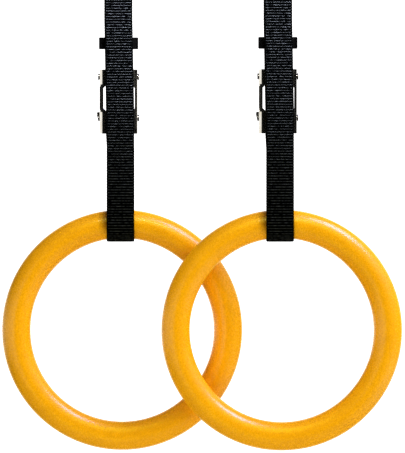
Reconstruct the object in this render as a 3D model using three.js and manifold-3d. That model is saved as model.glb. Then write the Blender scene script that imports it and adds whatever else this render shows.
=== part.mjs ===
// A pair of gymnastics rings, each hung in a loop of webbing with a cam buckle.
//
// Millimetres, +Z up. The origin is on the axis of the bar that holds the straps,
// midway between the two sets. +X runs along the bar and -Y is the front.
// Each set is built round its own strap: local x = 0 is the middle of the webbing,
// local y = 0 is the middle of the ring's tube and local z = 0 is the bar's axis.

import * as THREE from 'three';
import { mergeVertices } from 'three/addons/utils/BufferGeometryUtils.js';
import Module from 'manifold-3d';

const wasm = await Module();
wasm.setup();

// ---- driving dimensions -------------------------------------------------------

const GAP = 0.3; // running clearance between neighbouring pieces
const CUT_PAST = 5; // how far a cutter runs past the face that it cuts

const RING_OUTER = 236; // outside diameter
const RING_TUBE = 28; // grip diameter
const RING_MEAN_RADIUS = (RING_OUTER - RING_TUBE) / 2;
const RING_DROP = 345; // bar axis down to the centre of the ring
const RING_OFFSET_X = 1.6; // the ring has slid a little along its loop
const RING_SIDES = 20;
const RING_STEPS = 48;

const WEB_WIDTH = 27;
const WEB_THICK = 1.6;
const LOOP_RADIUS = 15.8; // inside radius of the loop round the bar and of the loop round the ring
const LOOP_STEPS = 15; // odd, so one flat step lies at the crown of each loop
const STRAND_Y = LOOP_RADIUS + WEB_THICK / 2; // middle of each hanging strand

const TUBE_Z = RING_MEAN_RADIUS - RING_DROP; // centre of the ring's tube at its top
const TWIST_Z = -40; // the strap twists above this height

// each strap hangs a little out of line, towards the left
const LEAN = 1.7; // both runs together, from LEAN_FROM up to TWIST_Z
const LEAN_FROM = -129;
const DRAWN = 0.9; // the back run alone, drawn over by the buckle
const DRAWN_FROM = -168;
const STRAND_STEPS = 12;

const HARDWARE_X = -2; // buckle and keeper sit a little to one side of the webbing

const SET_SPACING = 156.5; // between the two ring centres
const SET_DEPTH = 33; // one ring hangs in front of the other

// buckle frame: a channel of folded sheet, open to the back
const FRAME_HALF = 18.6;
const FRAME_SHEET = 2;
const FRAME_BEND = 3;
const FRAME_FRONT = 13.4; // front face
const FRAME_BOTTOM = -152.2;
const FRAME_TOP = -89.2;
const WALL_BACK = 28.2;
const WALL_BACK_TOP = 25.8;
const WALL_SLOPE_FROM = -124;
const WALL_SLOPE_TO = -107;
const WINDOW_LEFT = -15;
const WINDOW_RIGHT = 16;
const WINDOW_BOTTOM = -129.8;
const WINDOW_TOP = -104.8;
const WINDOW_CHAMFER = 2.5;
const STRUT_LEFT = -17.7; // beside the window the left bend is cut away, but for a flat strut out to here

// pins through the frame
const PIN_RADIUS = 2.5;
const PIN_HEAD = 1.2;
const PIN_HEAD_RADIUS = 3.2;
const PIN_SIDES = 20;
const AXLE = { y: 23.9, z: -136.7 };
const ANCHOR = { y: 20.1, z: -96.2 };

// cam lever
const CAM_HUB = 4.8;
const CAM_LEFT = -15.8;
const CAM_RIGHT = 10.2;
const CAM_TEETH = 7;
const CAM_TOOTH_DEPTH = 0.75;
const CAM_FROM = -28; // degrees above the line from the axle to the webbing
const CAM_TO = 56;
const CAM_REACH = 6; // tooth radius on that line
const CAM_RISE = 0.026; // growth of the tooth radius per degree
const LEVER_SHEET = 2;
const LEVER_INNER = 30.8; // front face of the thumb plate
const LEVER_TOP = -130.9;
const SHOULDER_LEFT = 21.3; // the left shoulder reaches past the frame, the right one stays inside it
const SHOULDER_RIGHT = 18.2;
const SHOULDER_TAPER = 1.3;
const SHOULDER_BOTTOM = -139.6;
const THUMB_HALF = 11;
const THUMB_BEND = -144;
const THUMB_FLICK = -154;
const THUMB_END = -165;

// torsion spring round the axle
const WIRE = 1;
const COIL_RADIUS = 3.6;
const COIL_TURNS = 3.5;
const COIL_FROM = 11.6;
const COIL_TO = 15.7;
const WIRE_SIDES = 8;
const COIL_STEPS_PER_TURN = 14;
const HOOK = { y: 20.3, z: -143.7 };

// the layers of webbing behind the back strand
const TAIL_BOTTOM = FRAME_BOTTOM - 1; // the tail starts just under the buckle
const LAYERS_TOP = TWIST_Z - 3; // where the sewn end and the tail both stop
const LAYER_STEP = WEB_THICK + GAP;
const FOLD_RADIUS = PIN_RADIUS + GAP + WEB_THICK / 2; // the sewn end round the anchor pin
const FOLD_STEPS = 10;
const RISE_STEPS = 8;
const CROSSING_STEPS = 22;

// keeper
const KEEPER_HALF = 19.2;
const KEEPER_HOLE_HALF = 16.6;
const KEEPER_FRONT = 13.4;
const KEEPER_BACK = 23.7;
const KEEPER_WALL = 2;
const KEEPER_BOTTOM = -69;
const KEEPER_TOP = -57.6;
const KEEPER_CORNER = 2;

// ---- materials ----------------------------------------------------------------

function material(color, roughness, metalness = 0) {
  return new THREE.MeshStandardMaterial({ color, roughness, metalness });
}

const ringPlastic = material(0xffb20a, 0.45);
const webbing = material(0x14161a, 0.85);
const keeperPlastic = material(0x0c0c0d, 0.5);
const platedSteel = material(0xd8c9a0, 0.28, 1);
const pinSteel = material(0xb9b4aa, 0.3, 1);
const springSteel = material(0x8c8c90, 0.35, 1);

// ---- helpers ------------------------------------------------------------------

// Sketches are drawn with x as the part's y and y as the part's z, then extruded along x.
const SIDE_VIEW = new THREE.Matrix4().makeBasis(
  new THREE.Vector3(0, 1, 0),
  new THREE.Vector3(0, 0, 1),
  new THREE.Vector3(1, 0, 0),
);

// Sketches are drawn with x as the part's x and y as the part's z, then extruded towards -y.
const FRONT_VIEW = new THREE.Matrix4().makeBasis(
  new THREE.Vector3(1, 0, 0),
  new THREE.Vector3(0, 0, 1),
  new THREE.Vector3(0, -1, 0),
);

function shapeOf(points) {
  return new THREE.Shape(points.map(([x, y]) => new THREE.Vector2(x, y)));
}

function extrude(shape, depth, curveSegments = 6) {
  return new THREE.ExtrudeGeometry(shape, { depth, bevelEnabled: false, curveSegments, steps: 1 });
}

// A side-view outline, from x = low to x = high.
function acrossX(points, low, high) {
  const geometry = extrude(shapeOf(points), high - low);
  geometry.applyMatrix4(SIDE_VIEW);
  geometry.translate(low, 0, 0);
  return geometry;
}

// A front-view outline, from y = low to y = high.
function acrossY(points, low, high) {
  const geometry = extrude(shapeOf(points), high - low);
  geometry.applyMatrix4(FRONT_VIEW);
  geometry.translate(0, high, 0);
  return geometry;
}

function boxBetween(low, high) {
  const size = high.map((value, i) => value - low[i]);
  const geometry = new THREE.BoxGeometry(...size);
  geometry.translate(...high.map((value, i) => (value + low[i]) / 2));
  return geometry;
}

// A round bar along x.
function rod(radius, low, high, at, sides = PIN_SIDES) {
  const geometry = new THREE.CylinderGeometry(radius, radius, high - low, sides);
  geometry.rotateZ(Math.PI / 2);
  geometry.translate((low + high) / 2, at.y, at.z);
  return geometry;
}

function solid(geometry) {
  const bare = geometry.clone();
  bare.deleteAttribute('normal');
  bare.deleteAttribute('uv');
  const merged = mergeVertices(bare, 1e-4);
  return new wasm.Manifold(
    new wasm.Mesh({
      numProp: 3,
      vertProperties: new Float32Array(merged.attributes.position.array),
      triVerts: new Uint32Array(merged.index.array),
    }),
  );
}

function geometryOf(manifold) {
  const mesh = manifold.getMesh();
  const geometry = new THREE.BufferGeometry();
  geometry.setAttribute('position', new THREE.BufferAttribute(mesh.vertProperties, 3));
  geometry.setIndex(new THREE.BufferAttribute(mesh.triVerts, 1));
  geometry.computeVertexNormals();
  return geometry;
}

function cut(geometry, cutters) {
  return geometryOf(cutters.reduce((left, cutter) => left.subtract(solid(cutter)), solid(geometry)));
}

// Webbing laid along a side-view route of its middle, as one closed band.
function band(route) {
  const points = route.map(([y, z]) => new THREE.Vector2(y, z));
  const sideAt = (i, side) => {
    const before = points[Math.max(i - 1, 0)];
    const after = points[Math.min(i + 1, points.length - 1)];
    const into = points[i].clone().sub(before).normalize();
    const out = after.clone().sub(points[i]).normalize();
    const along = into.clone().add(out).normalize();
    const reach = WEB_THICK / 2 / Math.sqrt((1 + Math.min(1, cornerCosine(into, out))) / 2);
    return [points[i].x - side * along.y * reach, points[i].y + side * along.x * reach];
  };
  const left = points.map((_, i) => sideAt(i, 1));
  const right = points.map((_, i) => sideAt(i, -1));
  return acrossX([...right, ...left.reverse()], -WEB_WIDTH / 2, WEB_WIDTH / 2);
}

function cornerCosine(into, out) {
  return into.lengthSq() > 0 && out.lengthSq() > 0 ? into.dot(out) : 1;
}

// How far the webbing has drifted to the right at a place on the strap.
function drift(y, z) {
  const share = (value, from, to) => THREE.MathUtils.clamp((value - from) / (to - from), 0, 1);
  const lean = LEAN * share(z, LEAN_FROM, TWIST_Z);
  const drawn = DRAWN * share(z, DRAWN_FROM, TAIL_BOTTOM) * share(y, -STRAND_Y, STRAND_Y);
  return -lean - drawn;
}

function drifted(geometry) {
  const position = geometry.attributes.position;
  for (let i = 0; i < position.count; i += 1) {
    position.setX(i, position.getX(i) + drift(position.getY(i), position.getZ(i)));
  }
  return geometry;
}

// A straight hanging run of webbing.
function strand(y, low, high) {
  const geometry = new THREE.BoxGeometry(WEB_WIDTH, WEB_THICK, high - low, 1, 1, STRAND_STEPS);
  geometry.translate(0, y, (low + high) / 2);
  return geometry;
}

// Side-view points on an arc, in degrees from +y towards +z.
function arc(centre, radius, from, to, steps) {
  return Array.from({ length: steps + 1 }, (_, i) => {
    const angle = THREE.MathUtils.degToRad(from + ((to - from) * i) / steps);
    return [centre.y + radius * Math.cos(angle), centre.z + radius * Math.sin(angle)];
  });
}

// A smooth side-view route through a few points.
function smooth(points, steps) {
  const curve = new THREE.CatmullRomCurve3(
    points.map(([y, z]) => new THREE.Vector3(y, z, 0)),
    false,
    'centripetal',
  );
  return curve.getSpacedPoints(steps).map((p) => [p.x, p.y]);
}

// ---- sub-parts of one set -----------------------------------------------------

// The grip: a solid torus standing in the x-z plane, with one vertex row at its top.
function ring() {
  const geometry = new THREE.TorusGeometry(RING_MEAN_RADIUS, RING_TUBE / 2, RING_SIDES, RING_STEPS);
  geometry.rotateX(Math.PI / 2);
  geometry.translate(RING_OFFSET_X, 0, -RING_DROP);
  return geometry;
}

function barLoop() {
  return band([
    [STRAND_Y, TWIST_Z],
    ...arc({ y: 0, z: 0 }, STRAND_Y, 0, 180, LOOP_STEPS),
    [-STRAND_Y, TWIST_Z],
  ]);
}

function ringLoop() {
  return band(arc({ y: 0, z: TUBE_Z }, STRAND_Y, 180, 360, LOOP_STEPS));
}

function frontStrand() {
  return strand(-STRAND_Y, TUBE_Z + GAP, TWIST_Z - GAP);
}

function backStrand() {
  return strand(STRAND_Y, TUBE_Z + GAP, TAIL_BOTTOM - GAP);
}

// The sewn end: down from the bar, round the anchor pin and up again behind itself.
function sewnStrand() {
  const behind = STRAND_Y + LAYER_STEP;
  const rise = [
    [ANCHOR.y + FOLD_RADIUS, ANCHOR.z],
    [ANCHOR.y + FOLD_RADIUS - 0.6, ANCHOR.z + 5],
    [behind + 1.6, ANCHOR.z + 13],
    [behind, ANCHOR.z + 21],
  ];
  return band([
    [STRAND_Y, TWIST_Z - GAP],
    [STRAND_Y, ANCHOR.z + 8],
    ...arc(ANCHOR, FOLD_RADIUS, 180, 360, FOLD_STEPS),
    ...smooth(rise, RISE_STEPS).slice(1),
    [behind, LAYERS_TOP],
  ]);
}

// The free end: up past the cam, over the sewn fold and along the back to its sealed cut end.
function tail() {
  const overFold = ANCHOR.y + FOLD_RADIUS + LAYER_STEP + 0.2;
  const behind = STRAND_Y + 2 * LAYER_STEP;
  const crossing = [
    [STRAND_Y, AXLE.z + 7],
    [STRAND_Y + 1.4, AXLE.z + 13],
    [overFold - 3.2, ANCHOR.z - 10],
    [overFold, ANCHOR.z - 2],
    [overFold, ANCHOR.z + 3],
    [behind + 2.4, ANCHOR.z + 12],
    [behind, ANCHOR.z + 21],
  ];
  return band([[STRAND_Y, TAIL_BOTTOM], ...smooth(crossing, CROSSING_STEPS), [behind, LAYERS_TOP]]);
}

// Plan section of the folded sheet.
function channelSection() {
  const outer = FRAME_BEND;
  const inner = FRAME_BEND - FRAME_SHEET;
  const centreX = FRAME_HALF - FRAME_BEND;
  const centreY = FRAME_FRONT + FRAME_BEND;
  const shape = new THREE.Shape();
  shape.moveTo(-FRAME_HALF, WALL_BACK);
  shape.lineTo(-FRAME_HALF, centreY);
  shape.absarc(-centreX, centreY, outer, Math.PI, 1.5 * Math.PI, false);
  shape.lineTo(centreX, FRAME_FRONT);
  shape.absarc(centreX, centreY, outer, 1.5 * Math.PI, 2 * Math.PI, false);
  shape.lineTo(FRAME_HALF, WALL_BACK);
  shape.lineTo(FRAME_HALF - FRAME_SHEET, WALL_BACK);
  shape.lineTo(FRAME_HALF - FRAME_SHEET, centreY);
  shape.absarc(centreX, centreY, inner, 2 * Math.PI, 1.5 * Math.PI, true);
  shape.lineTo(-centreX, FRAME_FRONT + FRAME_SHEET);
  shape.absarc(-centreX, centreY, inner, 1.5 * Math.PI, Math.PI, true);
  shape.lineTo(-FRAME_HALF + FRAME_SHEET, WALL_BACK);
  return shape;
}

function windowOutline() {
  const c = WINDOW_CHAMFER;
  return [
    [WINDOW_LEFT + c, WINDOW_BOTTOM],
    [WINDOW_RIGHT - c, WINDOW_BOTTOM],
    [WINDOW_RIGHT, WINDOW_BOTTOM + c],
    [WINDOW_RIGHT, WINDOW_TOP - c],
    [WINDOW_RIGHT - c, WINDOW_TOP],
    [WINDOW_LEFT + c, WINDOW_TOP],
    [WINDOW_LEFT, WINDOW_TOP - c],
    [WINDOW_LEFT, WINDOW_BOTTOM + c],
  ];
}

// What is cut from the back edges of the two walls: a slope towards the top and rounded ends.
function wallTrim() {
  const past = WALL_BACK + CUT_PAST;
  const above = FRAME_TOP + CUT_PAST;
  const below = FRAME_BOTTOM - CUT_PAST;
  return [
    [
      [WALL_BACK_TOP, above],
      [WALL_BACK_TOP - 6, above],
      [WALL_BACK_TOP - 3, FRAME_TOP - 3],
      [WALL_BACK_TOP, FRAME_TOP - 6],
      [WALL_BACK_TOP, WALL_SLOPE_TO],
      [WALL_BACK, WALL_SLOPE_FROM],
      [past, WALL_SLOPE_FROM],
      [past, above],
    ],
    [
      [past, FRAME_BOTTOM + 9],
      [WALL_BACK, FRAME_BOTTOM + 9],
      [WALL_BACK - 1.5, FRAME_BOTTOM + 5],
      [WALL_BACK - 6, FRAME_BOTTOM + 1.5],
      [WALL_BACK - 8, below],
      [past, below],
    ],
  ];
}

function buckleFrame() {
  const channel = extrude(channelSection(), FRAME_TOP - FRAME_BOTTOM, 4);
  channel.translate(0, 0, FRAME_BOTTOM);
  const past = FRAME_HALF + CUT_PAST;
  const front = FRAME_FRONT - CUT_PAST;
  const waistLow = [-past, front, WINDOW_BOTTOM + 1];
  const waistHigh = [WINDOW_LEFT, FRAME_FRONT + FRAME_BEND + 1, WINDOW_TOP - 1];
  const strutLow = [STRUT_LEFT, FRAME_FRONT, WINDOW_BOTTOM - 1];
  const strutHigh = [WINDOW_LEFT, FRAME_FRONT + FRAME_SHEET, WINDOW_TOP + 1];
  const cutters = [
    acrossY(windowOutline(), front, FRAME_FRONT + FRAME_BEND),
    boxBetween(waistLow, waistHigh),
    ...wallTrim().map((outline) => acrossX(outline, -past, past)),
    rod(PIN_RADIUS + GAP, -past, past, AXLE),
    rod(PIN_RADIUS + GAP, -past, past, ANCHOR),
    rod(WIRE / 2 + GAP + 0.1, 0, past, HOOK, WIRE_SIDES + 2),
  ];
  return geometryOf(solid(cut(channel, cutters)).add(solid(boxBetween(strutLow, strutHigh))));
}

// A pin with a flat head peened over each wall.
function pin(at) {
  const wall = FRAME_HALF + GAP;
  const left = rod(PIN_HEAD_RADIUS, -wall - PIN_HEAD, -wall, at);
  const right = rod(PIN_HEAD_RADIUS, wall, wall + PIN_HEAD, at);
  const shank = rod(PIN_RADIUS, -wall - PIN_HEAD / 2, wall + PIN_HEAD / 2, at);
  return geometryOf(solid(shank).add(solid(left)).add(solid(right)));
}

// Side-view point at a radius from the axle, at an angle above the line to the webbing.
function camPoint(radius, degrees) {
  const angle = THREE.MathUtils.degToRad(degrees);
  return [AXLE.y - radius * Math.cos(angle), AXLE.z + radius * Math.sin(angle)];
}

// The toothed sector: teeth whose radius grows upwards, so a pull on the ring tightens the grip.
function camSector() {
  const step = (CAM_TO - CAM_FROM) / CAM_TEETH;
  const points = [];
  for (let i = 0; i < CAM_TEETH; i += 1) {
    const from = CAM_FROM + i * step;
    const tip = from + 0.75 * step;
    points.push(camPoint(CAM_REACH + CAM_RISE * from - CAM_TOOTH_DEPTH, from));
    points.push(camPoint(CAM_REACH + CAM_RISE * tip, tip));
  }
  points.push(camPoint(CAM_HUB, CAM_TO + 4));
  points.push([AXLE.y + 1, AXLE.z]);
  points.push(camPoint(CAM_HUB, CAM_FROM - 6));
  return points;
}

// Side-view outline of the thumb plate: flat, then bent back a little, then flicked out at its end.
function thumbPlate() {
  const back = LEVER_INNER + LEVER_SHEET;
  return [
    [LEVER_INNER, LEVER_TOP],
    [back, LEVER_TOP],
    [back, THUMB_BEND],
    [back + 1.6, THUMB_FLICK],
    [back + 5.4, THUMB_END + 2],
    [back + 7, THUMB_END],
    [back + 5, THUMB_END - 0.8],
    [back + 3.4, THUMB_END + 1.8],
    [LEVER_INNER + 1.6, THUMB_FLICK - 0.4],
    [LEVER_INNER, THUMB_BEND - 0.2],
  ];
}

// Front-view outline of the same plate: wide shoulders over the walls, a narrower thumb.
function thumbOutline() {
  const half = (shoulder) => [
    [THUMB_HALF - 2, THUMB_END - 2],
    [THUMB_HALF, THUMB_END + 2],
    [THUMB_HALF, SHOULDER_BOTTOM],
    [shoulder - SHOULDER_TAPER, SHOULDER_BOTTOM],
    [shoulder, LEVER_TOP - 3],
    [shoulder, LEVER_TOP - 1],
    [shoulder - 0.8, LEVER_TOP + 1],
  ];
  const left = half(SHOULDER_LEFT).map(([x, z]) => [-x, z]);
  return [...half(SHOULDER_RIGHT), ...left.reverse()];
}

function camLever() {
  const plate = solid(acrossX(thumbPlate(), -SHOULDER_LEFT - 1, SHOULDER_LEFT + 1)).intersect(
    solid(acrossY(thumbOutline(), LEVER_INNER - 5, LEVER_INNER + 15)),
  );
  const neck = boxBetween(
    [CAM_LEFT + 2.2, AXLE.y + 1.5, AXLE.z - 3.4],
    [CAM_RIGHT, LEVER_INNER + LEVER_SHEET / 2, AXLE.z + 3.8],
  );
  const cam = solid(acrossX(camSector(), CAM_LEFT, CAM_RIGHT))
    .add(solid(rod(CAM_HUB, CAM_LEFT, CAM_RIGHT, AXLE, 24)))
    .add(solid(neck))
    .add(plate);
  const bore = rod(PIN_RADIUS + GAP, CAM_LEFT - CUT_PAST, CAM_RIGHT + CUT_PAST, AXLE);
  return geometryOf(cam.subtract(solid(bore)));
}

// Centre line of the spring wire: leg on the thumb plate, coils, leg down, hook into the wall.
class SpringLine extends THREE.Curve {
  constructor() {
    super();
    const legs = [
      new THREE.Vector3(COIL_FROM, LEVER_INNER - WIRE / 2 - GAP, AXLE.z - 11),
      new THREE.Vector3(COIL_FROM, AXLE.y + COIL_RADIUS + 1.2, AXLE.z - 5.5),
    ];
    const count = COIL_TURNS * COIL_STEPS_PER_TURN;
    const coils = Array.from({ length: count + 1 }, (_, i) => {
      const angle = (2 * Math.PI * i) / COIL_STEPS_PER_TURN;
      return new THREE.Vector3(
        COIL_FROM + ((COIL_TO - COIL_FROM) * i) / count,
        AXLE.y + COIL_RADIUS * Math.cos(angle),
        AXLE.z + COIL_RADIUS * Math.sin(angle),
      );
    });
    const hook = [
      new THREE.Vector3(COIL_TO, HOOK.y, HOOK.z + 2.2),
      new THREE.Vector3(COIL_TO + 0.5, HOOK.y, HOOK.z + 0.4),
      new THREE.Vector3(COIL_TO + 1.6, HOOK.y, HOOK.z),
      new THREE.Vector3(FRAME_HALF - 0.3, HOOK.y, HOOK.z),
    ];
    this.line = new THREE.CatmullRomCurve3([...legs, ...coils, ...hook], false, 'centripetal');
  }

  getPoint(t, target) {
    return this.line.getPoint(t, target);
  }
}

function torsionSpring() {
  const section = new THREE.Shape();
  section.absarc(0, 0, WIRE / 2, 0, 2 * Math.PI, false);
  return new THREE.ExtrudeGeometry(section, {
    extrudePath: new SpringLine(),
    steps: Math.round((COIL_TURNS + 1) * COIL_STEPS_PER_TURN),
    curveSegments: WIRE_SIDES / 2,
    bevelEnabled: false,
  });
}

function keeper() {
  const c = KEEPER_CORNER;
  const shape = shapeOf([
    [-KEEPER_HALF + c, KEEPER_FRONT],
    [KEEPER_HALF - c, KEEPER_FRONT],
    [KEEPER_HALF, KEEPER_FRONT + c],
    [KEEPER_HALF, KEEPER_BACK - c],
    [KEEPER_HALF - c, KEEPER_BACK],
    [-KEEPER_HALF + c, KEEPER_BACK],
    [-KEEPER_HALF, KEEPER_BACK - c],
    [-KEEPER_HALF, KEEPER_FRONT + c],
  ]);
  const geometry = extrude(shape, KEEPER_TOP - KEEPER_BOTTOM);
  geometry.translate(0, 0, KEEPER_BOTTOM);
  const slot = boxBetween(
    [-KEEPER_HOLE_HALF, KEEPER_FRONT + KEEPER_WALL, KEEPER_BOTTOM - 1],
    [KEEPER_HOLE_HALF, KEEPER_BACK - KEEPER_WALL, KEEPER_TOP + 1],
  );
  return cut(geometry, [slot]);
}

// ---- the two sets -------------------------------------------------------------

const STRAP_PIECES = [
  ['bar_loop', () => drifted(barLoop()), webbing],
  ['front_strand', () => drifted(frontStrand()), webbing],
  ['back_strand', () => drifted(backStrand()), webbing],
  ['ring_loop', ringLoop, webbing],
  ['sewn_strand', () => drifted(sewnStrand()), webbing],
  ['tail', () => drifted(tail()), webbing],
  ['ring', ring, ringPlastic],
];

const HARDWARE_PIECES = [
  ['buckle_frame', buckleFrame, platedSteel],
  ['anchor_pin', () => pin(ANCHOR), pinSteel],
  ['cam_axle', () => pin(AXLE), pinSteel],
  ['cam_lever', camLever, platedSteel],
  ['cam_spring', torsionSpring, springSteel],
  ['keeper', keeper, keeperPlastic],
];

function placed(side, pieces) {
  return pieces.map(([name, build, look]) => {
    const mesh = new THREE.Mesh(build(), look);
    mesh.name = `${side}_${name}`;
    return mesh;
  });
}

function ringSet(side, ringX, y) {
  const group = new THREE.Group();
  const hardware = new THREE.Group();
  hardware.position.set(HARDWARE_X, 0, 0);
  hardware.add(...placed(side, HARDWARE_PIECES));
  group.add(...placed(side, STRAP_PIECES), hardware);
  group.position.set(ringX - RING_OFFSET_X, y, 0);
  return group;
}

const group = new THREE.Group();
group.add(ringSet('left', -SET_SPACING / 2, SET_DEPTH / 2));
group.add(ringSet('right', SET_SPACING / 2, -SET_DEPTH / 2));

export default group;
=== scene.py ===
"""Gymnastics rings: two moulded grip rings in webbing loops, with cam buckles and keepers.

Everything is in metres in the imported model's frame. Each set's places come from its
CAD nodes' boxes; the sizes below are the real ones of the webbing and the hardware.
"""

import math

import bmesh
import bpy
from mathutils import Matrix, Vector


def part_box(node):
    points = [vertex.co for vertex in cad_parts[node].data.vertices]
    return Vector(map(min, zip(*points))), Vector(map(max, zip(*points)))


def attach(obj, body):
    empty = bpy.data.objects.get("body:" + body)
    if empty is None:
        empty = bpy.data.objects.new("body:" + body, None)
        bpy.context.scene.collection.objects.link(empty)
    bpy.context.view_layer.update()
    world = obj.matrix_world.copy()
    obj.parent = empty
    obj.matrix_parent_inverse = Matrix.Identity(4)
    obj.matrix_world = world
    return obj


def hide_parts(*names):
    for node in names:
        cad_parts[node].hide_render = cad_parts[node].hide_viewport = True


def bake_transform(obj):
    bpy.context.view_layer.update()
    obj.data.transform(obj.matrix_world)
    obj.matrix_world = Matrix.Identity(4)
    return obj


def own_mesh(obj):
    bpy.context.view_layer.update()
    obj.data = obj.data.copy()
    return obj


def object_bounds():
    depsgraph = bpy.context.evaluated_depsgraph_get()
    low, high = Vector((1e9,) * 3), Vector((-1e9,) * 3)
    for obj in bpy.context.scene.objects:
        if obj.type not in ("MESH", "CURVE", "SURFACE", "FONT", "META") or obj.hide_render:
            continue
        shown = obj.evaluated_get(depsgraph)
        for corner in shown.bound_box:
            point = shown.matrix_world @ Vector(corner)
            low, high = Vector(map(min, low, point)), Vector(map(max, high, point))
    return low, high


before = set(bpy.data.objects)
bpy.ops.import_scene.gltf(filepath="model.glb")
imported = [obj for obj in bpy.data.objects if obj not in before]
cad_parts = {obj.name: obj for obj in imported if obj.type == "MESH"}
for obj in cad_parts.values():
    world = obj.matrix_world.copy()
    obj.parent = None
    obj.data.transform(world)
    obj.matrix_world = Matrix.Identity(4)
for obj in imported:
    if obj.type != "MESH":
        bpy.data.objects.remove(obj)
cad_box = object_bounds()

SIDES = ("left", "right")
MM = 0.001

# ---- driving sizes ------------------------------------------------------------

WEB_HALF = 13.5 * MM
WEB_HALF_THICK = 0.8 * MM
RIB_PITCH = 2.7 * MM
RIB_HEIGHT = 0.24 * MM
RIB_SAMPLES = 6
RIB_FLATNESS = 0.8  # a power: under 1 widens the crests and narrows the grooves
SELVEDGE = 1.2 * MM  # width of the plain band along each edge
BAND_FROM = WEB_HALF - SELVEDGE - 0.3 * MM  # where the band begins, groove included
BAND_RIB = 0.55  # the ribs in the band, as a share of the height of the others
BAND_LEVEL = 0.25  # and the level that they stand on
GROOVE = 0.87  # the groove beside each band, as a share of the half width
GROOVE_DEPTH = 0.16 * MM
EDGE_ROUND = 0.8 * WEB_HALF_THICK  # how far each edge's round reaches out
EDGE_RIB = 0.2 * MM  # how far the ribs stand out at the edge
EDGE_DROP = 0.14 * MM  # how much the face falls away where the round begins
SEALED_STATIONS = 2  # stations at a heat-sealed end
SEALED_SHARE = 0.7  # and their share of the thickness
STRAND_Y = 16.6 * MM  # strand middle, from the middle of the set
LOOP_STEP = math.radians(3)

# each strap hangs a little out of line, towards the left
LEAN = 1.7 * MM  # both runs together, from LEAN_FROM up to the twist
LEAN_FROM = -129 * MM
DRAWN = 0.9 * MM  # the back run alone, drawn over by the buckle
DRAWN_FROM = -168 * MM

RING_RADIUS = 104 * MM
TUBE_RADIUS = 14 * MM
RING_SEGMENTS = 240
TUBE_SEGMENTS = 64
SHADOW_REACH = 8.5 * MM  # the painted shadow beside the strap, out from its edge
SHADOW_DEPTH = 11 * MM  # and down from the middle of the tube

PIN_RADIUS = 2.5 * MM
PIN_HEAD = 1.2 * MM
PIN_HEAD_RADIUS = 3.2 * MM
PIN_SEGMENTS = 48
WIRE_RADIUS = 0.5 * MM
COIL_RADIUS = 3.6 * MM
COIL_LENGTH = 4.1 * MM
COIL_TURNS = 3.5
COIL_STEPS = 96
HOOK_DROP = 7 * MM  # the hooked leg's end, below the axle
LAYER_GAP = 0.3 * MM  # between layers of webbing, and round the anchor pin
FOLD_RADIUS = PIN_RADIUS + LAYER_GAP + WEB_HALF_THICK
LAYER_STEP = 2 * WEB_HALF_THICK + LAYER_GAP

STITCH_ROWS = 5
STITCH_COLUMNS = 8
STITCH_LENGTH = 2.4 * MM
STITCH_INSET = 2.6 * MM
THREAD_RADIUS = 0.3 * MM

SAME_POINT = 0.001 * MM
SAME_FACE = math.radians(1)
SHARP_EDGE = math.radians(32)
BEVEL_SEGMENTS = 3

# ---- camera, light and stage --------------------------------------------------

CAMERA_DISTANCE = 12.0
VIEW_HEIGHT = 0.4444
VIEW_RIGHT = 0.7 * MM  # the view's centre, from the midpoint between the rings
VIEW_UP = 101.5 * MM
MIDDLE = (0, 0, -0.3)  # what the soft lights are aimed at

RIGHT_WALL = 4.3  # levels of the studio's light
END_WALLS = 0.8
LEFT_CARD = 0.95
BACK_CARD = 1.4
WALL_REFLECTION = 0.03  # the share of the walls' light that reflections see

FLOOR_HALF = 1.5
FLOOR_DROP = 0.9  # below the rings


# ---- places, from the frame ---------------------------------------------------


def middle(node):
    """The centre of a CAD node's box."""
    low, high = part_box(node)
    return (low + high) / 2


def share_of(value, low, high):
    """How far a value has gone from low to high, kept between 0 and 1."""
    return min(1.0, max(0.0, (value - low) / (high - low)))


class Place:
    """The places that one set's pieces share."""

    def __init__(self, side):
        self.side = side
        strand_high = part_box(self.node("front_strand"))[1]
        back_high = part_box(self.node("back_strand"))[1]
        ring_low, ring_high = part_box(self.node("ring"))
        self.x = middle(self.node("ring_loop")).x
        self.y = (ring_low.y + ring_high.y) / 2
        self.ring = (ring_low + ring_high) / 2
        self.tube_z = self.ring.z + RING_RADIUS
        self.bar_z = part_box(self.node("bar_loop"))[1].z - STRAND_Y - WEB_HALF_THICK
        self.twist_z = (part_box(self.node("bar_loop"))[0].z + strand_high.z) / 2
        self.tail_low_z = (back_high.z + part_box(self.node("tail"))[0].z) / 2
        self.tail_high_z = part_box(self.node("tail"))[1].z
        self.anchor = middle(self.node("anchor_pin"))
        self.axle = middle(self.node("cam_axle"))

    def node(self, name):
        return f"{self.side}_{name}"

    def body(self, name):
        return f"{self.side}_{name}"

    def drift(self, y, z):
        """How far the webbing has moved over, to the right, at a place on the strap."""
        lean = LEAN * share_of(z, LEAN_FROM, self.twist_z)
        drawn = DRAWN * share_of(z, DRAWN_FROM, self.tail_low_z)
        return -lean - drawn * share_of(y, self.y - STRAND_Y, self.y + STRAND_Y)


places = {side: Place(side) for side in SIDES}


# ---- making the camera, light and stage ---------------------------------------


def make_camera():
    """Straight on from the front, far away, so the rings keep their true circles."""
    rings = [places[side].ring for side in SIDES]
    centre_x = (rings[0].x + rings[1].x) / 2 + VIEW_RIGHT
    centre_z = rings[0].z + VIEW_UP
    data = bpy.data.cameras.new("camera")
    data.sensor_width = 36
    data.lens = data.sensor_width * CAMERA_DISTANCE / VIEW_HEIGHT
    data.clip_end = 100
    camera = bpy.data.objects.new("camera", data)
    camera.location = (centre_x, -CAMERA_DISTANCE, centre_z)
    camera.rotation_euler = (math.radians(90), 0, 0)
    bpy.context.scene.collection.objects.link(camera)
    bpy.context.scene.camera = camera


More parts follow.
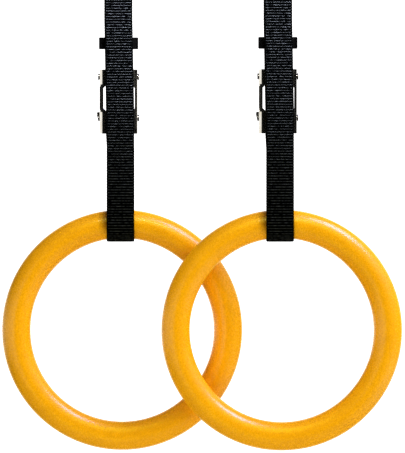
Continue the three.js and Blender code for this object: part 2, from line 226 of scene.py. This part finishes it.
def aim(name, data, place, target):
    """A light at one place, turned towards another and hidden from the camera."""
    light = bpy.data.objects.new(name, data)
    light.location = place
    light.rotation_euler = (Vector(target) - Vector(place)).to_track_quat("-Z", "Y").to_euler()
    light.visible_camera = False
    bpy.context.scene.collection.objects.link(light)
    return light


def area_light(name, place, size, watts, colour, mirrored=True):
    """A round soft light. An unmirrored one lights surfaces and leaves no highlight on them."""
    data = bpy.data.lights.new(name, "AREA")
    data.shape = "DISK"
    data.size = size
    data.energy = watts
    data.color = colour
    light = aim(name, data, place, MIDDLE)
    light.visible_glossy = mirrored


def make_lights():
    """A key from the upper right, soft fills, and a spot on the upper front of each strap."""
    area_light("key", place=(1.26, -0.49, 1.73), size=1.2, watts=18, colour=(1, 1, 2.3))
    area_light("top_fill", place=(0.1, -1.1, 0.9), size=1.2, watts=6.8, colour=(1, 0.98, 0.05))
    area_light(
        "low_fill",
        place=(-0.25, -1.0, -0.95),
        size=0.8,
        watts=5.4,
        colour=(1, 1, 0.05),
        mirrored=False,
    )
    for side, at in places.items():
        spot = bpy.data.lights.new(f"{side}_strap_spot", "SPOT")
        spot.spot_size = math.radians(40)
        spot.spot_blend = 1.0
        spot.shadow_soft_size = 0.03
        spot.energy = 36
        place = (at.x + 0.03, at.y - 0.38, 0.2)
        target = (at.x, at.y - STRAND_Y, -0.01)
        aim(spot.name, spot, place, target)


def make_world():
    """A white backdrop for the camera, and the studio round it for light and reflections.

    The studio's light comes from above and from the right, with a card along the left horizon
    and one behind. It is dark round the camera, so polished faces that look at the camera stay
    dark, and reflections see only a small part of its walls' light.
    """
    world = bpy.data.worlds.new("studio")
    world.use_nodes = True
    nodes, links = world.node_tree.nodes, world.node_tree.links

    def node(kind, **settings):
        made = nodes.new("ShaderNode" + kind)
        for key, value in settings.items():
            setattr(made, key, value)
        return made

    def share(value, low, high, at_low, at_high):
        """A level that changes smoothly from at_low to at_high as a value goes from low to high."""
        made = node("MapRange", interpolation_type="SMOOTHSTEP")
        numbers = {"From Min": low, "From Max": high, "To Min": at_low, "To Max": at_high}
        for socket, number in numbers.items():
            made.inputs[socket].default_value = number
        links.new(value, made.inputs["Value"])
        return made.outputs["Result"]

    def math_node(operation, a, b):
        """Arithmetic on two values, each a number or another node's result."""
        made = node("Math", operation=operation)
        for socket, value in zip(made.inputs, (a, b)):
            if isinstance(value, bpy.types.NodeSocket):
                links.new(value, socket)
            else:
                socket.default_value = value
        return made.outputs[0]

    def lobe(value, level):
        """Light that falls off as the square of the cosine from one axis."""
        facing = math_node("MAXIMUM", value, 0)
        return math_node("MULTIPLY", math_node("MULTIPLY", facing, facing), level)

    axes = node("SeparateXYZ")
    links.new(node("TexCoord").outputs["Generated"], axes.inputs["Vector"])
    x, y, z = (axes.outputs[axis] for axis in "XYZ")
    slope = math_node("ABSOLUTE", z, 0)
    off_horizon = share(slope, 0.14, 0.38, 0, 1)
    near_horizon = share(slope, 0.12, 0.25, 1, 0)
    right = math_node("MULTIPLY", lobe(x, RIGHT_WALL), off_horizon)
    left_card = math_node("MULTIPLY", share(x, -0.36, -0.2, LEFT_CARD, 0), near_horizon)
    cards = math_node("ADD", left_card, share(y, 0.6, 0.95, 0, BACK_CARD))
    path = node("LightPath")
    soft = share(path.outputs["Is Glossy Ray"], 0, 1, 1, WALL_REFLECTION)
    down = math_node("MULTIPLY", z, -1)
    ends = math_node("ADD", lobe(z, END_WALLS), lobe(down, END_WALLS))
    walls = math_node("MULTIPLY", math_node("ADD", right, ends), soft)
    lit = math_node("MAXIMUM", math_node("ADD", walls, cards), path.outputs["Is Camera Ray"])
    links.new(lit, nodes["Background"].inputs["Color"])
    bpy.context.scene.world = world
    bpy.context.scene.view_settings.view_transform = "Standard"
    bpy.context.scene.view_settings.gamma = 0.8


def make_floor():
    """A pale floor, well below the hanging rings, left out of reflections in them."""
    half, z = FLOOR_HALF, cad_box[0].z - FLOOR_DROP
    mesh = bpy.data.meshes.new("floor")
    corners = [(-half, -half, z), (half, -half, z), (half, half, z), (-half, half, z)]
    mesh.from_pydata(corners, [], [(0, 1, 2, 3)])
    floor = bpy.data.objects.new("floor", mesh)
    floor.visible_glossy = False
    bpy.context.scene.collection.objects.link(floor)
    look = bpy.data.materials.new("floor_paint")
    look.use_nodes = True
    shader = look.node_tree.nodes["Principled BSDF"]
    shader.inputs["Base Color"].default_value = (0.66, 0.645, 0.56, 1)
    shader.inputs["Roughness"].default_value = 0.8
    mesh.materials.append(look)


make_camera()
make_lights()
make_world()
make_floor()


# ---- material helpers ---------------------------------------------------------


class Look:
    """A node material being wired up round its Principled shader."""

    def __init__(self, name, **uniform):
        self.material = bpy.data.materials.new(name)
        self.material.use_nodes = True
        self.nodes = self.material.node_tree.nodes
        self.links = self.material.node_tree.links
        self.shader = self.nodes["Principled BSDF"]
        for socket, value in uniform.items():
            self.shader.inputs[socket.replace("_", " ")].default_value = value

    def node(self, kind, inputs=(), **settings):
        """A new shader node, with values or links for its inputs and settings of its own."""
        made = self.nodes.new("ShaderNode" + kind)
        for key, value in settings.items():
            setattr(made, key, value)
        for key, value in dict(inputs).items():
            self.feed(made.inputs[key], value)
        return made

    def feed(self, socket, value):
        """Link another node's result to a socket, or set a plain value on it."""
        if isinstance(value, bpy.types.NodeSocket):
            self.links.new(value, socket)
        else:
            socket.default_value = value

    def math(self, operation, *values, clamp=False):
        made = self.node("Math", operation=operation, use_clamp=clamp)
        for i, value in enumerate(values):
            self.feed(made.inputs[i], value)
        return made.outputs[0]

    def attribute(self, name):
        """A value that the mesh holds at each of its points."""
        return self.node("Attribute", attribute_name=name).outputs["Fac"]

    def place(self):
        """Where a point is, in the object's own metres."""
        return self.node("TexCoord").outputs["Object"]

    def noise(self, vector, scale, detail=3.0, roughness=0.5):
        inputs = {"Vector": vector, "Scale": scale, "Detail": detail, "Roughness": roughness}
        return self.node("TexNoise", inputs).outputs["Fac"]

    def vector(self, x, y, z):
        return self.node("CombineXYZ", {"X": x, "Y": y, "Z": z}).outputs["Vector"]

    def ramp(self, value, *stops):
        """A colour that goes from one (position, colour) stop to another as a value grows."""
        made = self.node("ValToRGB", {"Fac": value})
        for element, (position, colour) in zip(made.color_ramp.elements, stops):
            element.position = position
            element.color = (*colour, 1)
        return made.outputs["Color"]

    def spread(self, value, low, high):
        """A value from 0 to 1, taken to the range from low to high."""
        return self.node("MapRange", {"Value": value, "To Min": low, "To Max": high}).outputs["Result"]

    def mix(self, share, a, b):
        """Colour a where the share is 0 and colour b where it is 1."""
        made = self.node("Mix", data_type="RGBA")
        self.feed(made.inputs["Factor"], share)
        for socket, value in ((made.inputs[6], a), (made.inputs[7], b)):
            self.feed(socket, (*value, 1) if isinstance(value, tuple) else value)
        return made.outputs[2]

    def bump(self, height, distance, strength):
        inputs = {"Height": height, "Distance": distance, "Strength": strength}
        return self.node("Bump", inputs).outputs["Normal"]

    def finish(self, **sockets):
        """Link results to the shader's named sockets."""
        for socket, value in sockets.items():
            self.links.new(value, self.shader.inputs[socket.replace("_", " ")])
        return self.material


# ---- materials ----------------------------------------------------------------


def ring_plastic():
    """Orange-yellow plastic with a pebbled mould grain and a soft sheen, and a painted shadow of the
    strap beside its left edge.
    """
    look = Look("ring_plastic", IOR=1.6, Specular_IOR_Level=0.75)
    place = look.place()
    blotch = look.noise(place, scale=38, detail=4, roughness=0.6)
    fleck = look.noise(place, scale=520, detail=2)
    tone = look.math("ADD", look.math("MULTIPLY", blotch, 0.3), look.math("MULTIPLY", fleck, 0.7))
    unshaded = look.ramp(tone, (0.35, (0.87, 0.43, 0.001)), (0.65, (0.98, 0.505, 0.002)))
    # painted shadow: a dark brown mixed into the base colour where the strap shades the ring, beside
    # its left edge
    painted_shadow = look.math("MULTIPLY", look.attribute("painted_shadow"), 0.85)
    cells = look.node("TexVoronoi", {"Vector": place, "Scale": 850}, feature="SMOOTH_F1")
    pebbles = look.math("SUBTRACT", 1.0, cells.outputs["Distance"])
    ripple = look.math("MULTIPLY", look.noise(place, scale=420, detail=2), 0.8)
    grain = look.math("ADD", pebbles, ripple)
    polish = look.noise(place, scale=700, detail=2)
    return look.finish(
        Base_Color=look.mix(painted_shadow, unshaded, (0.12, 0.035, 0.0005)),
        Roughness=look.spread(polish, low=0.22, high=0.32),
        Normal=look.bump(grain, distance=0.2 * MM, strength=0.7),
    )


def webbing():
    """Black polyester: weft ribs broken into dashes of painted highlight, warp threads between, plain
    edge bands.
    """
    look = Look("webbing", IOR=1.45, Specular_IOR_Level=0.0)
    along, across = look.attribute("along"), look.attribute("across")
    rib_number = look.math("ROUND", along)
    crest = look.math("ABSOLUTE", look.math("COSINE", look.math("MULTIPLY", along, math.pi)))
    dash_place = look.vector(
        look.math("MULTIPLY", across, 330),
        look.math("MULTIPLY", rib_number, 3.71),
        0.0,
    )
    dash = look.noise(dash_place, scale=1.0, detail=2)
    dashes = look.spread(dash, low=-1.2, high=2.6)
    warp = look.math("ABSOLUTE", look.math("SINE", look.math("MULTIPLY", across, 3600)))
    edge = look.math("GREATER_THAN", look.math("ABSOLUTE", across), WEB_HALF - SELVEDGE)
    # painted highlight: thin light lines on the rib crests, in the base colour, with near-black grooves
    # between
    lit = look.math("MULTIPLY", look.math("POWER", crest, 18.0), dashes, clamp=True)
    body = look.mix(lit, (0.0003, 0.0004, 0.0006), (0.064, 0.07, 0.086))
    band = look.math("MULTIPLY", edge, 0.9)
    return look.finish(
        Base_Color=look.mix(band, body, (0.001, 0.0012, 0.0015)),
        Roughness=look.spread(dash, low=0.5, high=0.75),
        Normal=look.bump(look.math("MULTIPLY", warp, crest), distance=0.08 * MM, strength=0.6),
    )


def thread():
    """Black sewing thread, a little shinier than the webbing."""
    look = Look("thread", IOR=1.45, Sheen_Weight=0.2)
    twist = look.noise(look.place(), scale=2500, detail=2)
    return look.finish(
        Base_Color=look.ramp(twist, (0.3, (0.02, 0.022, 0.026)), (0.7, (0.06, 0.065, 0.07))),
        Roughness=look.spread(twist, low=0.45, high=0.6),
    )


def plated_steel():
    """Pale gold plating over pressed sheet, with faint rolling lines and worn spots."""
    look = Look("plated_steel", Metallic=1.0)
    place = look.place()
    stretch = look.node("Mapping", {"Vector": place, "Scale": (260, 260, 40)}).outputs["Vector"]
    lines = look.noise(stretch, scale=6, detail=4, roughness=0.6)
    cloud = look.noise(place, scale=90, detail=3)
    return look.finish(
        Base_Color=look.ramp(cloud, (0.3, (0.9, 0.85, 0.74)), (0.6, (0.96, 0.93, 0.86))),
        Roughness=look.spread(lines, low=0.1, high=0.2),
        Normal=look.bump(lines, distance=0.008 * MM, strength=0.4),
    )


def pin_steel():
    """Dark turned steel with a fine grain."""
    look = Look("pin_steel", Metallic=1.0)
    place = look.place()
    cloud = look.noise(place, scale=400, detail=3)
    grain = look.noise(place, scale=1500, detail=2)
    return look.finish(
        Base_Color=look.ramp(cloud, (0.3, (0.09, 0.085, 0.078)), (0.7, (0.16, 0.152, 0.14))),
        Roughness=look.spread(cloud, low=0.24, high=0.4),
        Normal=look.bump(grain, distance=0.02 * MM, strength=0.4),
    )


def spring_steel():
    """Drawn wire, oiled dark."""
    look = Look("spring_steel", Metallic=1.0)
    streak = look.noise(look.place(), scale=1200, detail=2)
    return look.finish(
        Base_Color=look.ramp(streak, (0.3, (0.24, 0.24, 0.25)), (0.7, (0.42, 0.42, 0.43))),
        Roughness=look.spread(streak, low=0.25, high=0.4),
    )


def keeper_plastic():
    """Black moulded nylon with a fine spark texture."""
    look = Look("keeper_plastic", IOR=1.5, Specular_IOR_Level=0.03)
    place = look.place()
    cloud = look.noise(place, scale=60, detail=2)
    spark = look.noise(place, scale=1800, detail=3)
    return look.finish(
        Base_Color=look.ramp(cloud, (0.3, (0.0008, 0.0008, 0.001)), (0.7, (0.002, 0.002, 0.0024))),
        Roughness=look.spread(spark, low=0.38, high=0.52),
        Normal=look.bump(spark, distance=0.04 * MM, strength=0.5),
    )


LOOKS = {
    "ring_plastic": ring_plastic(),
    "webbing": webbing(),
    "thread": thread(),
    "plated_steel": plated_steel(),
    "pin_steel": pin_steel(),
    "spring_steel": spring_steel(),
    "keeper_plastic": keeper_plastic(),
}


# ---- mesh helpers -------------------------------------------------------------


def make_piece(name, mesh, look):
    """A smooth-shaded object with its material."""
    piece = bpy.data.objects.new(name, mesh)
    bpy.context.scene.collection.objects.link(piece)
    mesh.materials.clear()
    mesh.materials.append(LOOKS[look])
    mesh.polygons.foreach_set("use_smooth", [True] * len(mesh.polygons))
    return piece


def tube_faces(rows, columns, closed_rows=False):
    """Quads of a grid whose columns close on themselves, and caps unless its rows close too."""
    faces = []
    for i in range(rows if closed_rows else rows - 1):
        a, b = i * columns, (i + 1) % rows * columns
        for k in range(columns):
            n = (k + 1) % columns
            faces.append((a + k, b + k, b + n, a + n))
    if not closed_rows:
        faces.append(tuple(range(columns)))
        faces.append(tuple(reversed(range((rows - 1) * columns, rows * columns))))
    return faces


def mesh_of(name, points, faces):
    """A mesh with its faces turned outwards."""
    mesh = bpy.data.meshes.new(name)
    mesh.from_pydata(points, [], faces)
    built = bmesh.new()
    built.from_mesh(mesh)
    bmesh.ops.recalc_face_normals(built, faces=built.faces)
    built.to_mesh(mesh)
    built.free()
    return mesh


def even_shading(piece):
    """Shading that keeps flat faces flat between rounded edges."""
    normals = piece.modifiers.new("even_shading", "WEIGHTED_NORMAL")
    normals.keep_sharp = True


def arc(centre, radius, start, end):
    """Side-view points (y, z) on an arc, in degrees from +y towards +z."""
    steps = max(2, round(abs(math.radians(end - start)) / LOOP_STEP))
    turns = [math.radians(start + (end - start) * i / steps) for i in range(steps + 1)]
    return [(centre[0] + radius * math.cos(t), centre[1] + radius * math.sin(t)) for t in turns]


def smooth_route(points, steps=12):
    """A centripetal Catmull-Rom line through side-view points."""
    found = []
    ends = [2 * Vector(points[0]) - Vector(points[1])], [2 * Vector(points[-1]) - Vector(points[-2])]
    knots = ends[0] + [Vector(p) for p in points] + ends[1]
    for a, b, c, d in zip(knots, knots[1:], knots[2:], knots[3:]):
        t = [0.0]
        for before, after in ((a, b), (b, c), (c, d)):
            t.append(t[-1] + max((after - before).length, 1e-9) ** 0.5)
        for i in range(steps):
            s = t[1] + (t[2] - t[1]) * i / steps
            ab = a * ((t[1] - s) / (t[1] - t[0])) + b * ((s - t[0]) / (t[1] - t[0]))
            bc = b * ((t[2] - s) / (t[2] - t[1])) + c * ((s - t[1]) / (t[2] - t[1]))
            cd = c * ((t[3] - s) / (t[3] - t[2])) + d * ((s - t[2]) / (t[3] - t[2]))
            abc = ab * ((t[2] - s) / (t[2] - t[0])) + bc * ((s - t[0]) / (t[2] - t[0]))
            bcd = bc * ((t[3] - s) / (t[3] - t[1])) + cd * ((s - t[1]) / (t[3] - t[1]))
            found.append(tuple(abc * ((t[2] - s) / (t[2] - t[1])) + bcd * ((s - t[1]) / (t[2] - t[1]))))
    found.append(tuple(points[-1]))
    return found


def resampled(route, step):
    """Even stations along a side-view route: (point, tangent) pairs, ends included."""
    points = [Vector(p) for p in route]
    lengths = [0.0]
    for a, b in zip(points, points[1:]):
        lengths.append(lengths[-1] + (b - a).length)
    count = max(2, round(lengths[-1] / step))
    found, k = [], 0
    for i in range(count + 1):
        s = lengths[-1] * i / count
        while k < len(points) - 2 and lengths[k + 1] < s:
            k += 1
        share = (s - lengths[k]) / max(lengths[k + 1] - lengths[k], 1e-12)
        found.append(points[k].lerp(points[k + 1], share))
    ends = [found[0] + (found[0] - found[1])], [found[-1] + (found[-1] - found[-2])]
    padded = ends[0] + found + ends[1]
    tangents = [(c - a).normalized() for a, c in zip(padded, padded[2:])]
    return list(zip(found, tangents)), lengths[-1]


# ---- webbing ------------------------------------------------------------------

# across the face, as shares of the half width up to the edge's round
RIGHT_COLUMNS = [0.25, 0.5, 0.7, 0.84, GROOVE, 0.93, 1]
FACE_COLUMNS = [-share for share in reversed(RIGHT_COLUMNS)] + [0] + RIGHT_COLUMNS
EDGE_TURNS = [math.radians(a) for a in (60, 30, 0, -30, -60)]


def rib(along):
    """Height of the weft rib at a place along the webbing, 0 in the groove and 1 on the crest."""
    return abs(math.cos(math.pi * along / RIB_PITCH)) ** RIB_FLATNESS


def web_section(along, shrink):
    """The outline at one station: (across, out of the face) pairs, anticlockwise."""
    crest = rib(along)
    low = WEB_HALF_THICK - RIB_HEIGHT
    flat = WEB_HALF - EDGE_ROUND
    face = []
    for share in FACE_COLUMNS:
        u = share * flat
        band = abs(u) > BAND_FROM
        height = low + RIB_HEIGHT * (BAND_RIB * crest + BAND_LEVEL if band else crest)
        height -= GROOVE_DEPTH if abs(share) == GROOVE else 0
        height -= EDGE_DROP if abs(share) == 1 else 0
        face.append((u, height * shrink))
    reach = (EDGE_ROUND - EDGE_RIB) + EDGE_RIB * crest
    deep = face[0][1]
    right = [(flat + reach * math.cos(a), deep * math.sin(a)) for a in EDGE_TURNS]
    back = [(u, -h) for u, h in reversed(face)]
    left = [(-u, -h) for u, h in right]
    return face + right + back + left


def web(at, name, route, start=0.0, sealed=False):
    """Webbing laid flat along a side-view route (y, z). The far end may be heat-sealed."""
    stations, length = resampled(route, RIB_PITCH / RIB_SAMPLES)
    points, along_values, across_values = [], [], []
    for i, (point, tangent) in enumerate(stations):
        along = start + length * i / (len(stations) - 1)
        normal = Vector((tangent.y, -tangent.x))
        middle_x = at.x + at.drift(point.x, point.y)
        melted = sealed and i >= len(stations) - SEALED_STATIONS
        shrink = SEALED_SHARE if melted else 1.0
        for u, n in web_section(along, shrink):
            side = point + normal * n
            points.append((middle_x + u, side.x, side.y))
            along_values.append(along / RIB_PITCH)
            across_values.append(u)
    columns = len(points) // len(stations)
    mesh = mesh_of(at.node(name), points, tube_faces(len(stations), columns))
    for key, values in (("along", along_values), ("across", across_values)):
        mesh.attributes.new(key, "FLOAT", "POINT").data.foreach_set("value", values)
    piece = make_piece(at.node(name), mesh, "webbing")
    return piece, start + length


def strap_pieces(at):
    """One set's webbing, in two runs from the same place at the front, so the ribs carry on."""
    front, back = at.y - STRAND_Y, at.y + STRAND_Y
    crown_x = at.x + at.drift(at.y, at.bar_z)

    route = [(front, at.twist_z), (front, at.tube_z)]
    piece, run = web(at, "strap_front", route)
    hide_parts(at.node("front_strand"))
    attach(piece, at.body("strap"))
    at.node("height")
    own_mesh(piece)

    route = arc((at.y, at.tube_z), STRAND_Y, 180, 360)
    piece, run = web(at, "strap_round_ring", route, run)
    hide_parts(at.node("ring_loop"))
    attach(piece, at.body("hanger"))

    route = [(back, at.tube_z), (back, at.tail_low_z)]
    piece, run = web(at, "strap_back", route, run)
    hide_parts(at.node("back_strand"))
    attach(piece, at.body("strap"))
    at.node("height")
    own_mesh(piece)

    piece, _ = web(at, "strap_tail", tail_route(at), run, sealed=True)
    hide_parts(at.node("tail"))
    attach(piece, at.body("strap"))

    route = [(front, at.twist_z), *arc((at.y, at.bar_z), STRAND_Y, 180, 0), (back, at.twist_z)]
    piece, run = web(at, "strap_over_bar", route)
    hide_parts(at.node("bar_loop"))
    at.body("loop")
    at.body("strap")
    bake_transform(piece)

    piece, _ = web(at, "strap_sewn", sewn_route(at), run, sealed=True)
    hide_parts(at.node("sewn_strand"))
    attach(piece, at.body("strap"))


def tail_route(at):
    """Up through the buckle, over the sewn fold and along the back to the sealed end."""
    back = at.y + STRAND_Y
    over = at.anchor.y + FOLD_RADIUS + LAYER_STEP + 0.2 * MM
    behind = back + 2 * LAYER_STEP
    crossing = [
        (back, at.axle.z + 7 * MM),
        (back + 1.4 * MM, at.axle.z + 13 * MM),
        (over - 3.2 * MM, at.anchor.z - 10 * MM),
        (over, at.anchor.z - 2 * MM),
        (over, at.anchor.z + 3 * MM),
        (behind + 2.4 * MM, at.anchor.z + 12 * MM),
        (behind, at.anchor.z + 21 * MM),
    ]
    return [(back, at.tail_low_z), *smooth_route(crossing), (behind, at.tail_high_z)]


def sewn_route(at):
    """Down from the bar, round the anchor pin and up again behind itself."""
    back = at.y + STRAND_Y
    behind = back + LAYER_STEP
    rise = [
        (at.anchor.y + FOLD_RADIUS, at.anchor.z),
        (at.anchor.y + FOLD_RADIUS - 0.6 * MM, at.anchor.z + 5 * MM),
        (behind + 1.6 * MM, at.anchor.z + 13 * MM),
        (behind, at.anchor.z + 21 * MM),
    ]
    fold = arc((at.anchor.y, at.anchor.z), FOLD_RADIUS, 180, 360)
    down = [(back, at.twist_z), (back, at.anchor.z + 8 * MM)]
    return [*down, *fold, *smooth_route(rise)[1:], (behind, at.tail_high_z)]


# ---- rings --------------------------------------------------------------------


def strap_shadow(at, point):
    """How strongly the strap's shadow is painted on the ring beside its left edge, from 0 to 1."""
    edge = at.x + at.drift(at.y - STRAND_Y, at.tube_z) - WEB_HALF
    beside = 1 - share_of(edge - point.x, 0, SHADOW_REACH)
    above = share_of(point.z, at.tube_z - SHADOW_DEPTH, at.tube_z)
    return beside * above if point.x < at.x else 0.0


def ring_piece(at):
    """The moulded ring, with the strap's painted shadow as a value at each point."""
    points = []
    for i in range(RING_SEGMENTS):
        turn = 2 * math.pi * i / RING_SEGMENTS
        out = Vector((math.cos(turn), 0, math.sin(turn)))
        for k in range(TUBE_SEGMENTS):
            lean = 2 * math.pi * k / TUBE_SEGMENTS
            reach = RING_RADIUS + TUBE_RADIUS * math.cos(lean)
            points.append(at.ring + out * reach + Vector((0, TUBE_RADIUS * math.sin(lean), 0)))
    mesh = mesh_of(at.node("grip_ring"), points, tube_faces(RING_SEGMENTS, TUBE_SEGMENTS, True))
    painted_shadow = [strap_shadow(at, point) for point in points]
    mesh.attributes.new("painted_shadow", "FLOAT", "POINT").data.foreach_set("value", painted_shadow)
    piece = make_piece(at.node("grip_ring"), mesh, "ring_plastic")
    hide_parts(at.node("ring"))
    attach(piece, at.body("grip"))


# ---- hardware -----------------------------------------------------------------


def softened(at, node, name, look, body, width):
    """A CAD piece's shape with its flat faces joined up and its edges rounded."""
    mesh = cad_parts[at.node(node)].data.copy()
    built = bmesh.new()
    built.from_mesh(mesh)
    bmesh.ops.remove_doubles(built, verts=built.verts, dist=SAME_POINT)
    bmesh.ops.dissolve_limit(built, angle_limit=SAME_FACE, verts=built.verts, edges=built.edges)
    joined = [edge for edge in built.edges if len(edge.link_faces) == 2]
    sharp = [edge for edge in joined if edge.calc_face_angle(0) > SHARP_EDGE]
    bmesh.ops.bevel(
        built,
        geom=sharp,
        offset=width,
        offset_type="OFFSET",
        segments=BEVEL_SEGMENTS,
        profile=0.5,
        affect="EDGES",
        clamp_overlap=True,
    )
    bmesh.ops.recalc_face_normals(built, faces=built.faces)
    built.to_mesh(mesh)
    built.free()
    piece = make_piece(at.node(name), mesh, look)
    even_shading(piece)
    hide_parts(at.node(node))
    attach(piece, at.body(body))


def pin(at, node, name, centre):
    """A turned pin along x with a flat head peened over each wall."""
    low, high = (corner.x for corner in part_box(at.node(node)))
    # each head's outline: how far in from the pin's end, and the radius there
    head = [
        (0, PIN_HEAD_RADIUS - 0.7 * MM),
        (0.1 * MM, PIN_HEAD_RADIUS - 0.25 * MM),
        (0.4 * MM, PIN_HEAD_RADIUS),
        (PIN_HEAD, PIN_HEAD_RADIUS),
        (PIN_HEAD, PIN_RADIUS),
    ]
    profile = [(low + step, radius) for step, radius in head]
    profile += [(high - step, radius) for step, radius in reversed(head)]
    points = []
    for x, radius in profile:
        for k in range(PIN_SEGMENTS):
            turn = 2 * math.pi * k / PIN_SEGMENTS
            points.append((x, centre.y + radius * math.cos(turn), centre.z + radius * math.sin(turn)))
    mesh = mesh_of(at.node(name), points, tube_faces(len(profile), PIN_SEGMENTS))
    piece = make_piece(at.node(name), mesh, "pin_steel")
    even_shading(piece)
    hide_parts(at.node(node))
    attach(piece, at.body("strap"))


def wire(route, radius, sides=12):
    """Points and faces of a round wire along a line of points."""
    route = [Vector(p) for p in route]
    ends = [2 * route[0] - route[1]], [2 * route[-1] - route[-2]]
    padded = ends[0] + route + ends[1]
    points = []
    across = Vector((0, 0, 1)).cross(padded[2] - padded[0])
    for before, place, after in zip(padded, route, padded[2:]):
        along = (after - before).normalized()
        across = (across - along * across.dot(along)).normalized()
        other = along.cross(across)
        for k in range(sides):
            turn = 2 * math.pi * k / sides
            points.append(place + (across * math.cos(turn) + other * math.sin(turn)) * radius)
    return points, tube_faces(len(route), sides)


def torsion_spring(at):
    """A leg on the thumb plate, coils round the axle, and a leg that hooks into the wall."""
    low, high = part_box(at.node("cam_spring"))
    coil_from = low.x + WIRE_RADIUS
    coil_to = coil_from + COIL_LENGTH
    hook_y, hook_z = at.axle.y - COIL_RADIUS, at.axle.z - HOOK_DROP
    route = [(coil_from, high.y - WIRE_RADIUS, low.z + WIRE_RADIUS)]
    route.append((coil_from, at.axle.y + COIL_RADIUS + 1.2 * MM, at.axle.z - 5.5 * MM))
    for i in range(COIL_STEPS + 1):
        turn = 2 * math.pi * COIL_TURNS * i / COIL_STEPS
        x = coil_from + (coil_to - coil_from) * i / COIL_STEPS
        y, z = at.axle.y + COIL_RADIUS * math.cos(turn), at.axle.z + COIL_RADIUS * math.sin(turn)
        route.append((x, y, z))
    route.append((coil_to, hook_y, hook_z + 2.2 * MM))
    route.append((coil_to + 0.5 * MM, hook_y, hook_z + 0.4 * MM))
    route.append((coil_to + 1.6 * MM, hook_y, hook_z))
    route.append((high.x, hook_y, hook_z))
    mesh = mesh_of(at.node("spring"), *wire(route, WIRE_RADIUS))
    piece = make_piece(at.node("spring"), mesh, "spring_steel")
    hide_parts(at.node("cam_spring"))
    at.body("strap")
    at.body("lever")
    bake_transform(piece)


def stitches(at):
    """Rows of thread across the doubled end of the strap, on the face towards the set's front."""
    face = at.y + STRAND_Y - WEB_HALF_THICK
    under, over = face + 0.2 * MM, face - 0.1 * MM
    lowest, highest = at.anchor.z + 24 * MM, at.tail_high_z - 4 * MM
    pitch = 2 * (WEB_HALF - STITCH_INSET) / STITCH_COLUMNS
    points, faces = [], []
    for row in range(STITCH_ROWS):
        z = lowest + (highest - lowest) * row / (STITCH_ROWS - 1)
        left = at.x + at.drift(face, z) - WEB_HALF + STITCH_INSET
        for column in range(STITCH_COLUMNS):
            x = left + pitch * (column + 0.5)
            route = [(x - STITCH_LENGTH / 2, under, z), (x - STITCH_LENGTH / 3, over, z)]
            route += [(x + STITCH_LENGTH / 3, over, z), (x + STITCH_LENGTH / 2, under, z)]
            more_points, more_faces = wire(route, THREAD_RADIUS, sides=6)
            first = len(points)
            points += more_points
            faces += [tuple(first + corner for corner in corners) for corners in more_faces]
    mesh = mesh_of(at.node("stitches"), points, faces)
    piece = make_piece(at.node("stitches"), mesh, "thread")
    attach(piece, at.body("strap"))


def hardware(at):
    """The buckle, its lever, pins and spring, the keeper, and the sewn end's stitches."""
    softened(at, "buckle_frame", "frame", "plated_steel", "strap", 0.35 * MM)
    softened(at, "cam_lever", "lever", "plated_steel", "lever", 0.25 * MM)
    softened(at, "keeper", "strap_keeper", "keeper_plastic", "slider", 0.9 * MM)
    pin(at, "cam_axle", "axle", at.axle)
    pin(at, "anchor_pin", "anchor", at.anchor)
    torsion_spring(at)
    stitches(at)


for at in places.values():
    ring_piece(at)
    strap_pieces(at)
    hardware(at)
